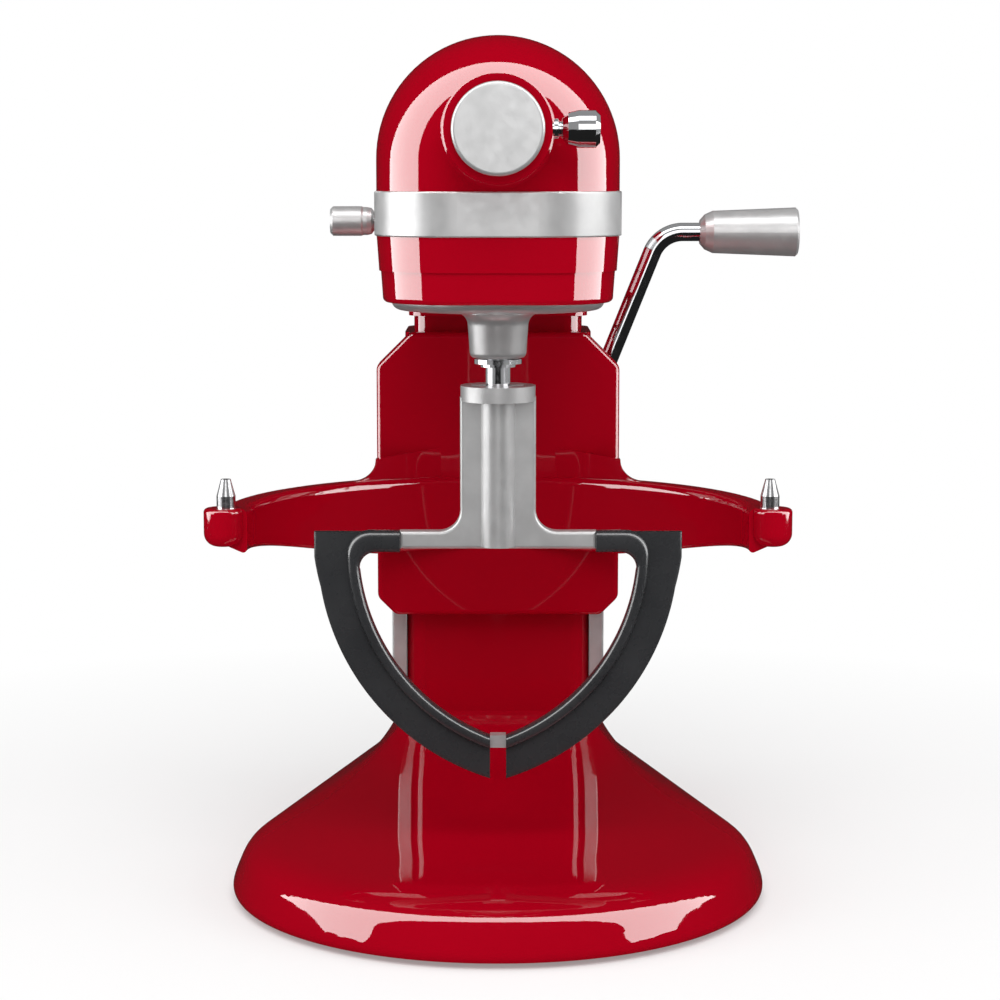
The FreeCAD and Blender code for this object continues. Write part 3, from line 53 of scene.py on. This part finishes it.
class Shader:
    """A Principled material whose colour, roughness and bump vary with noise, in metres."""

    def __init__(self, name, color, roughness, metallic=0.0, **constants):
        self.material = bpy.data.materials.new(name)
        self.material.use_nodes = True
        self.tree = self.material.node_tree
        self.bsdf = self.tree.nodes["Principled BSDF"]
        self.color = color
        self.roughness = roughness
        self.set("Base Color", (*color, 1.0))
        self.set("Roughness", roughness)
        self.set("Metallic", metallic)
        for socket, value in constants.items():
            self.set(socket.replace("_", " "), value)
        self.coords = self.node("ShaderNodeTexCoord").outputs["Object"]

    def set(self, socket, value):
        self.bsdf.inputs[socket].default_value = value

    def node(self, kind, **inputs):
        made = self.tree.nodes.new(kind)
        for socket, value in inputs.items():
            made.inputs[socket.replace("_", " ")].default_value = value
        return made

    def link(self, source, target):
        self.tree.links.new(source, target)

    def stretched(self, scale):
        mapping = self.node("ShaderNodeMapping", Scale=scale)
        self.link(self.coords, mapping.inputs["Vector"])
        return mapping.outputs["Vector"]

    def noise(self, scale, detail=3.0, stretch=None):
        """A noise map with about scale waves in a metre."""
        made = self.node("ShaderNodeTexNoise", Scale=scale, Detail=detail)
        self.link(self.stretched(stretch) if stretch else self.coords, made.inputs["Vector"])
        return made.outputs["Fac"]

    def ramp(self, source, low, high, span=NOISE_SPAN):
        """A value that goes from low to high while the source goes through the span."""
        made = self.node("ShaderNodeMapRange", From_Min=span[0], From_Max=span[1],
                         To_Min=low, To_Max=high)
        self.link(source, made.inputs["Value"])
        return made.outputs["Result"]

    def vary_color(self, share, other):
        """Blend from the material's own colour to another, by a share from 0 to 1."""
        mix = self.node("ShaderNodeMix")
        mix.data_type = "RGBA"
        colors = [socket for socket in mix.inputs if socket.type == "RGBA"]
        colors[0].default_value = (*self.color, 1.0)
        colors[1].default_value = (*other, 1.0)
        self.link(share, mix.inputs["Factor"])
        blended = [socket for socket in mix.outputs if socket.type == "RGBA"][0]
        self.link(blended, self.bsdf.inputs["Base Color"])

    def mottle(self, source, other):
        """Patches of another colour where the noise is high."""
        self.vary_color(self.ramp(source, 0.0, 1.0), other)

    def vary_roughness(self, source, spread):
        low = max(LEAST_ROUGHNESS, self.roughness - spread)
        self.link(self.ramp(source, low, self.roughness + spread), self.bsdf.inputs["Roughness"])

    def bump(self, source, depth_mm):
        made = self.node("ShaderNodeBump", Strength=1.0, Distance=depth_mm / 1000)
        self.link(source, made.inputs["Height"])
        self.link(made.outputs["Normal"], self.bsdf.inputs["Normal"])


def darker(color, share):
    return tuple(channel * share for channel in color)


def enamel(name):
    """A matt red under a clear, glossy coat."""
    s = Shader(name, (0.35, 0.0004, 0.009), 0.38,
               Coat_Weight=1.0, Coat_Roughness=0.03, Specular_IOR_Level=0.0)
    s.mottle(s.noise(scale=9), (0.325, 0.0003, 0.008))
    s.vary_roughness(s.noise(scale=60), spread=0.04)
    s.bump(s.noise(scale=300, detail=1.0), depth_mm=0.0015)
    return s.material


def satin(name, color, roughness, grain_mm, depth_mm, metallic=1.0, patches=0.88):
    """A metal with a fine, even grain and slightly darker patches."""
    s = Shader(name, color, roughness, metallic)
    grain = s.noise(scale=1000 / grain_mm, detail=2.0)
    s.mottle(s.noise(scale=80), darker(color, patches))
    s.vary_roughness(s.noise(scale=240), spread=0.05)
    s.bump(grain, depth_mm)
    return s.material


def brushed(name, color, roughness):
    """A metal with fine streaks along X."""
    s = Shader(name, color, roughness, metallic=1.0)
    streaks = s.noise(scale=900, stretch=(0.03, 1.0, 1.0))
    s.mottle(streaks, darker(color, 0.85))
    s.vary_roughness(streaks, spread=0.06)
    s.bump(streaks, depth_mm=0.012)
    return s.material


def soft_silicone(name):
    s = Shader(name, (0.022, 0.023, 0.025), 0.28, Specular_IOR_Level=0.45)
    s.mottle(s.noise(scale=35), (0.028, 0.029, 0.031))
    s.vary_roughness(s.noise(scale=200), spread=0.03)
    s.bump(s.noise(scale=1500), depth_mm=0.0005)
    return s.material


def plastic(name, color, roughness):
    s = Shader(name, color, roughness)
    s.mottle(s.noise(scale=60), darker(color, 0.8))
    s.vary_roughness(s.noise(scale=900), spread=0.06)
    s.bump(s.noise(scale=900), depth_mm=0.012)
    return s.material


# What makes the material of each slot, and with which values.
FINISHES = {
    "red_enamel": (enamel, {}),
    "satin_aluminium": (satin, dict(color=(0.72, 0.72, 0.72), roughness=0.36, metallic=0.75,
                                    grain_mm=0.5, depth_mm=0.004)),
    "cast_aluminium": (satin, dict(color=(0.66, 0.66, 0.66), roughness=0.36, metallic=0.75,
                                   grain_mm=0.6, depth_mm=0.010)),
    "chrome": (satin, dict(color=(0.80, 0.81, 0.83), roughness=0.06, patches=0.95,
                           grain_mm=2.0, depth_mm=0.001)),
    "polished_steel": (brushed, dict(color=(0.66, 0.66, 0.67), roughness=0.20)),
    "gear_steel": (satin, dict(color=(0.32, 0.32, 0.33), roughness=0.38,
                               grain_mm=0.8, depth_mm=0.012)),
    "bearing_steel": (satin, dict(color=(0.50, 0.51, 0.53), roughness=0.18,
                                  grain_mm=1.0, depth_mm=0.004)),
    "fastener_steel": (satin, dict(color=(0.50, 0.50, 0.50), roughness=0.30,
                                   grain_mm=0.7, depth_mm=0.008)),
    "silicone": (soft_silicone, {}),
    "foot_rubber": (plastic, dict(color=(0.018, 0.018, 0.018), roughness=0.62)),
    "bronze": (satin, dict(color=(0.46, 0.29, 0.11), roughness=0.38,
                           grain_mm=0.6, depth_mm=0.012)),
    "copper": (satin, dict(color=(0.60, 0.25, 0.09), roughness=0.28,
                           grain_mm=0.5, depth_mm=0.020)),
    "lamination": (brushed, dict(color=(0.17, 0.17, 0.18), roughness=0.42)),
    "magnet": (plastic, dict(color=(0.045, 0.045, 0.05), roughness=0.55)),
    "carbon": (plastic, dict(color=(0.02, 0.02, 0.02), roughness=0.5)),
    "nylon": (plastic, dict(color=(0.03, 0.03, 0.033), roughness=0.40)),
    "circuit_board": (plastic, dict(color=(0.01, 0.11, 0.04), roughness=0.35)),
}
MATERIALS = {slot: make(slot, **values) for slot, (make, values) in FINISHES.items()}

# Widths of the rounded edges, in metres, of the pieces whose edges catch the light.
EDGE_ROUNDS = {
    "beater_frame": 0.0012,
    "trim_band": 0.0005,
    "hub_cap": 0.0004,
    "speed_knob": 0.0004,
    "planetary_housing": 0.0006,
}
SHARP_EDGE_ANGLE = math.radians(40)


def round_edges(node, width):
    rounding = node.modifiers.new("rounded_edges", "BEVEL")
    rounding.width = width
    rounding.segments = 3
    rounding.limit_method = "ANGLE"
    rounding.angle_limit = SHARP_EDGE_ANGLE
    rounding.harden_normals = True


for name, node in NODES.items():
    node.data.materials.clear()
    node.data.materials.append(MATERIALS[SLOT_OF[name]])
    if name in EDGE_ROUNDS:
        round_edges(node, EDGE_ROUNDS[name])


# ---------------------------------------------------------------- wipers

# The right wiper lies in the plane of X and Z through the beater's own axis, and the left one is
# its mirror image. A rail is a list of (X, Z) points in metres, from the crossbar to the foot.
BEATER_AXIS_Y = -0.030
LOOP_CENTRE = (-0.0316, 0.176)
LOOP_FOOT_X = 0.0039      # where the silicone stops, at the foot of the loop
BAR_END_X = 0.0468        # where the bare crossbar ends and the silicone starts
BAR_STEPS = 4
BEND_STEPS = 12
LOOP_STEPS = 40
LIP_STEPS = 4             # steps of the loop in which the lip at the blade's top dies out
BLADE_FIRST_ANGLE = 2


def on_loop(radius, angle):
    """A point of a loop ring, by the angle below the level through its centre."""
    turn = math.radians(angle)
    return LOOP_CENTRE[0] + radius * math.cos(turn), LOOP_CENTRE[1] - radius * math.sin(turn)


def foot_angle(radius):
    return math.degrees(math.acos((LOOP_FOOT_X - LOOP_CENTRE[0]) / radius))


def bead_rail(height, corner, bend, radius, first_angle):
    """One edge of the bead: along the crossbar, round the bend, then down the loop to its foot."""
    centre = (corner - bend, height - bend)
    rail = [(BAR_END_X + (centre[0] - BAR_END_X) * step / BAR_STEPS, height)
            for step in range(BAR_STEPS)]
    for step in range(BEND_STEPS + 1):
        turn = math.radians(90 - 90 * step / BEND_STEPS)
        rail.append((centre[0] + bend * math.cos(turn), centre[1] + bend * math.sin(turn)))
    last = foot_angle(radius)
    for step in range(LOOP_STEPS + 1):
        rail.append(on_loop(radius, first_angle + (last - first_angle) * step / LOOP_STEPS))
    return rail


def blade_rail(radius, lip, start):
    """One edge of the blade: its top corner, then down the loop to the foot."""
    rail = [start]
    last = foot_angle(radius)
    for step in range(LOOP_STEPS + 1):
        flare = lip * max(0, 1 - step / LIP_STEPS)
        angle = BLADE_FIRST_ANGLE + (last - BLADE_FIRST_ANGLE) * step / LOOP_STEPS
        rail.append(on_loop(radius + flare, angle))
    return rail


def signed_power(value, exponent):
    return math.copysign(abs(value) ** exponent, value)


def skin(shape, side, inner, outer, half_thick, squareness, around):
    """A closed bar between two rails. Its section is an oval, squarer for a lower squareness."""
    rings = []
    for (ax, az), (bx, bz) in zip(inner, outer):
        ring = []
        for step in range(around):
            turn = 2 * math.pi * step / around
            across = signed_power(math.cos(turn), squareness)
            deep = signed_power(math.sin(turn), squareness)
            x = (ax + bx) / 2 + (bx - ax) / 2 * across
            z = (az + bz) / 2 + (bz - az) / 2 * across
            ring.append(shape.verts.new((side * x, BEATER_AXIS_Y + half_thick * deep, z)))
        rings.append(ring)
    for ring, following in zip(rings, rings[1:]):
        for step in range(around):
            after = (step + 1) % around
            shape.faces.new((ring[step], ring[after], following[after], following[step]))
    for end in (rings[0], rings[-1]):
        shape.faces.new(end)


def shade_smooth_but_ends(shape):
    """Smooth sides, which are all quads, with flat end caps behind a sharp edge."""
    for face in shape.faces:
        face.smooth = len(face.verts) == 4
        if not face.smooth:
            for edge in face.edges:
                edge.smooth = False


def add_to_scene(name, shape):
    """A new object from a finished bmesh."""
    mesh = bpy.data.meshes.new(name)
    shape.to_mesh(mesh)
    shape.free()
    piece = bpy.data.objects.new(name, mesh)
    bpy.context.scene.collection.objects.link(piece)
    return piece


def wiper(side, node_name):
    """A flat blade with a thick round bead along its inner edge."""
    shape = bmesh.new()
    skin(shape, side,
         bead_rail(height=0.1742, corner=0.0662, bend=0.008, radius=0.0981, first_angle=6.4),
         bead_rail(height=0.1846, corner=0.0721, bend=0.011, radius=0.1040, first_angle=6.1),
         half_thick=0.0052, squareness=0.62, around=20)
    skin(shape, side,
         blade_rail(radius=0.1010, lip=0.0, start=(0.0560, 0.1838)),
         blade_rail(radius=0.1180, lip=0.0015, start=(0.0879, 0.1840)),
         half_thick=0.0025, squareness=0.30, around=32)
    bmesh.ops.recalc_face_normals(shape, faces=shape.faces)
    shade_smooth_but_ends(shape)
    piece = add_to_scene(node_name + "_silicone", shape)
    piece.data.materials.append(MATERIALS["silicone"])
    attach(piece, "agitator")
    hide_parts(node_name)
    return piece


WIPERS = [wiper(-1, "wiper_left"), wiper(1, "wiper_right")]


# ---------------------------------------------------------------- floor

FLOOR_RADIUS = 30
# Strength of the floor's painted glow. It is weaker near the object, so the floor is painted
# darker there.
FLOOR_GLOW = (0.25, 1.0)        # near the object and far from it
FLOOR_GLOW_SPAN = (0.15, 0.65)  # distances over which the glow changes, in metres


def stage_floor():
    """A pale paper floor with a painted glow: weak near the object, which paints the floor darker
    there, and as bright as the backdrop far from it.
    """
    shape = bmesh.new()
    bmesh.ops.create_circle(shape, cap_ends=True, radius=FLOOR_RADIUS, segments=96)
    floor = add_to_scene("floor", shape)
    s = Shader("floor_paper_painted_glow", (0.90, 0.90, 0.90), 0.8, Specular_IOR_Level=0.0)
    distance = s.node("ShaderNodeVectorMath")
    distance.operation = "LENGTH"
    s.link(s.coords, distance.inputs[0])
    # Painted light: the floor glows more the farther it is from the object, and its own colour
    # fades to black where the glow takes over.
    glow = s.ramp(distance.outputs["Value"], *FLOOR_GLOW, span=FLOOR_GLOW_SPAN)
    s.vary_color(glow, (0, 0, 0))
    s.set("Emission Color", (1, 1, 1, 1))
    s.link(glow, s.bsdf.inputs["Emission Strength"])
    floor.data.materials.append(s.material)
    floor.visible_glossy = False


# ---------------------------------------------------------------- light

COATED = ("red_enamel", "silicone")
MIRROR_BRIGHT = ("chrome", "polished_steel")
SKY_DIFFUSE = 0.50              # strength of the white world for matt surfaces
SKY_GLOSSY = 0.015              # and in reflections; the camera sees it at full strength
TUNNEL_RADIUS = 1.25
TUNNEL_MIDDLE = 0.35            # height of the centre of the vault
TUNNEL_FOOT = 0.03              # height at which its walls start
FRONT_HALF = ((55, 52), (107, 80))      # spans of a light tunnel, as in light_tunnel
ALL_ROUND = ((14, 14), (150, 150))


def panel(name, place, width, height, power, in_reflections):
    """A soft box. It either shows in reflections or lights matt surfaces, so each can be set."""
    light = bpy.data.lights.new(name, "AREA")
    light.shape = "RECTANGLE"
    light.size = width
    light.size_y = height
    light.energy = power
    holder = bpy.data.objects.new(name, light)
    bpy.context.scene.collection.objects.link(holder)
    holder.location = place
    holder.visible_camera = False
    holder.visible_diffuse = not in_reflections
    holder.visible_glossy = in_reflections
    return holder


def aim(light, towards):
    direction = Vector(towards) - Vector(light.location)
    light.rotation_euler = direction.to_track_quat("-Z", "Y").to_euler()


def wall(name, low, high, reach, glow):
    """A soft box of a light tunnel that runs along Y: its edges in X and Z, and its reach in Y."""
    centre = Vector(((low[0] + high[0]) / 2, (reach[0] + reach[1]) / 2, (low[1] + high[1]) / 2))
    tall = math.dist(low, high)
    deep = reach[1] - reach[0]
    light = panel(name, centre, deep, tall, glow * math.pi * tall * deep, in_reflections=True)
    along = Vector((0, 1, 0))
    inward = Vector((low[1] - high[1], 0, high[0] - low[0])).normalized()
    if inward.dot(Vector((0, centre.y, TUNNEL_MIDDLE)) - centre) < 0:
        inward = -inward
    light.rotation_euler = Matrix((along, (-inward).cross(along), -inward)).transposed().to_euler()
    return light


def light_tunnel(name, glow, lit, steps, span=FRONT_HALF, lowest=0.0):
    """Walls and a vault round the Y axis, which light one group only.

    span holds the angles from -Y at which the tunnel starts and ends, each at the walls and at the
    top of the vault. Parts that start below the height lowest are left out.
    """
    turns = [math.radians(90 * step / steps) for step in range(steps + 1)]
    arch = [(TUNNEL_RADIUS, TUNNEL_FOOT)]
    arch += [(TUNNEL_RADIUS * math.cos(turn), TUNNEL_MIDDLE + TUNNEL_RADIUS * math.sin(turn))
             for turn in turns]
    for number, (low, high) in enumerate(zip(arch, arch[1:])):
        if low[1] < lowest:
            continue
        share = max(0.0, ((low[1] + high[1]) / 2 - TUNNEL_MIDDLE) / TUNNEL_RADIUS)
        angles = [at_wall + (at_top - at_wall) * share for at_wall, at_top in span]
        reach = [-TUNNEL_RADIUS / math.tan(math.radians(angle)) for angle in angles]
        for side, word in ((-1, "left"), (1, "right")):
            light = wall(f"{name}_{word}_{number}",
                         (side * low[0], low[1]), (side * high[0], high[1]), reach, glow)
            light.light_linking.receiver_collection = lit


def group_of(name, pieces):
    """The set of pieces that a light falls on. No scene holds it, so it changes nothing else."""
    group = bpy.data.collections.new(name)
    for piece in pieces:
        group.objects.link(piece)
    return group


def white_world():
    """A white backdrop that is dimmer for matt surfaces and nearly black in reflections."""
    world = bpy.data.worlds.new("studio")
    bpy.context.scene.world = world
    world.use_nodes = True
    tree = world.node_tree
    sky = tree.nodes["Background"]
    sky.inputs["Color"].default_value = (1, 1, 1, 1)
    path = tree.nodes.new("ShaderNodeLightPath")
    off_camera = tree.nodes.new("ShaderNodeMapRange")
    off_camera.inputs["To Min"].default_value = SKY_GLOSSY
    off_camera.inputs["To Max"].default_value = SKY_DIFFUSE
    tree.links.new(path.outputs["Is Diffuse Ray"], off_camera.inputs["Value"])
    strength = tree.nodes.new("ShaderNodeMath")
    strength.operation = "MAXIMUM"
    tree.links.new(off_camera.outputs["Result"], strength.inputs[0])
    tree.links.new(path.outputs["Is Camera Ray"], strength.inputs[1])
    tree.links.new(strength.outputs["Value"], sky.inputs["Strength"])


def studio():
    coated = group_of("coated", [node for name, node in NODES.items()
                                 if SLOT_OF[name] in COATED and name != "base"] + WIPERS)
    base = group_of("base_only", [NODES["base"]])
    bare = group_of("bare", [node for name, node in NODES.items() if SLOT_OF[name] not in COATED])
    mirrors = group_of("mirrors", [node for name, node in NODES.items()
                                   if SLOT_OF[name] in MIRROR_BRIGHT])
    light_tunnel("coat", glow=11.5, lit=coated, steps=36)
    light_tunnel("base", glow=10.5, lit=base, steps=18, lowest=0.3)
    light_tunnel("metal", glow=2.4, lit=bare, steps=8)
    light_tunnel("metal_dim", glow=0.30, lit=bare, steps=3, span=ALL_ROUND)
    light_tunnel("mirror_dim", glow=0.50, lit=mirrors, steps=3, span=ALL_ROUND)
    front = panel("metal_front", place=(0, -2.6, 0.9), width=1.1, height=1.6,
                  power=8, in_reflections=True)
    front.light_linking.receiver_collection = bare
    aim(front, (0, 0, 0.3))
    key = panel("key", place=(0, -1.5, 2.0), width=2.0, height=1.5,
                power=38, in_reflections=False)
    aim(key, (0, 0, 0.2))
    for name, x in (("left_fill", -1.8), ("right_fill", 1.8)):
        fill = panel(name, place=(x, -0.5, 1.0), width=1.5, height=1.2,
                     power=9, in_reflections=False)
        aim(fill, (0, 0, 0.3))


# ---------------------------------------------------------------- camera

CAMERA_PLACE = (0, -1.2, 0.355)
CAMERA_TILT_DOWN = 7.59         # degrees
LENS_MM = 89.1
SENSOR_MM = 36
SIDEWAYS_SHIFT = 0.002          # as a share of the picture's width
FARTHEST_SEEN = 50


def front_camera():
    data = bpy.data.cameras.new("camera")
    data.lens = LENS_MM
    data.sensor_width = SENSOR_MM
    data.shift_x = SIDEWAYS_SHIFT
    data.clip_end = FARTHEST_SEEN
    camera = bpy.data.objects.new("camera", data)
    bpy.context.scene.collection.objects.link(camera)
    camera.location = CAMERA_PLACE
    camera.rotation_euler = (math.radians(90 - CAMERA_TILT_DOWN), 0, 0)
    bpy.context.scene.camera = camera


stage_floor()
white_world()
studio()
front_camera()
bpy.context.scene.view_settings.view_transform = "Standard"
